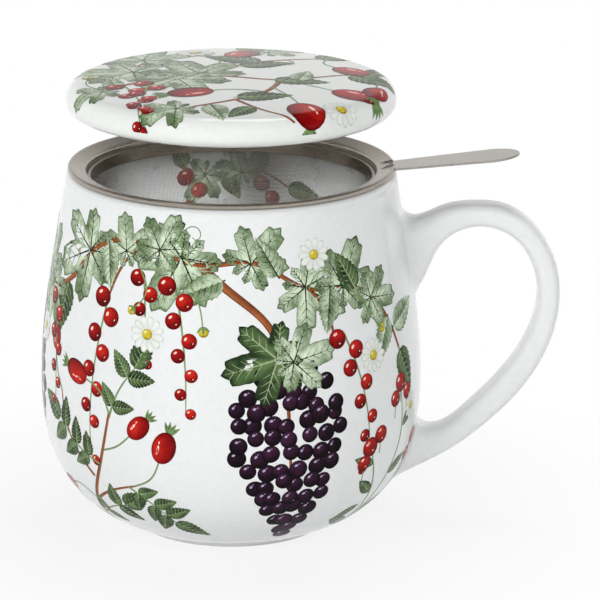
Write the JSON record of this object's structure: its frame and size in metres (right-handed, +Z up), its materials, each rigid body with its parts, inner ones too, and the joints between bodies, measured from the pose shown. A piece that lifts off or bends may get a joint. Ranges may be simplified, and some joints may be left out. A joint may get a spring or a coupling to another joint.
{
  "type": "lidded tea mug with strainer",
  "caption": "Bellied porcelain mug with an ear handle, a lift-out mesh tea strainer with a lifting tab, and a loose round lid held above it.",
  "frame": {"origin": "on the mug's axis, in the plane of the foot ring that the mug stands on", "axes": "+Z up along the mug's axis, +X towards the handle and the strainer's tab"},
  "size_m": [0.1284, 0.0944, 0.1132],
  "materials": {
    "porcelain": "clear gloss glaze on white porcelain",
    "steel_sheet": "polished pressed sheet",
    "steel_mesh": "bright fine wire cloth"
  },
  "bodies": {
    "mug": {"mug_body": "porcelain", "mug_handle": "porcelain"},
    "strainer": {"strainer_rim": "steel_sheet", "strainer_mesh": "steel_mesh", "strainer_band": "steel_sheet"},
    "lid": {"lid": "porcelain"}
  },
  "joints": [
    {"name": "strainer_lift", "type": "slide", "parent": "mug", "child": "strainer", "axis": [0, 0, 1], "range_m": [0, 0.075]},
    {"name": "lid_lift", "type": "slide", "parent": "strainer", "child": "lid", "axis": [0, 0, 1], "range_m": [-0.0132, 0.06]}
  ]
}
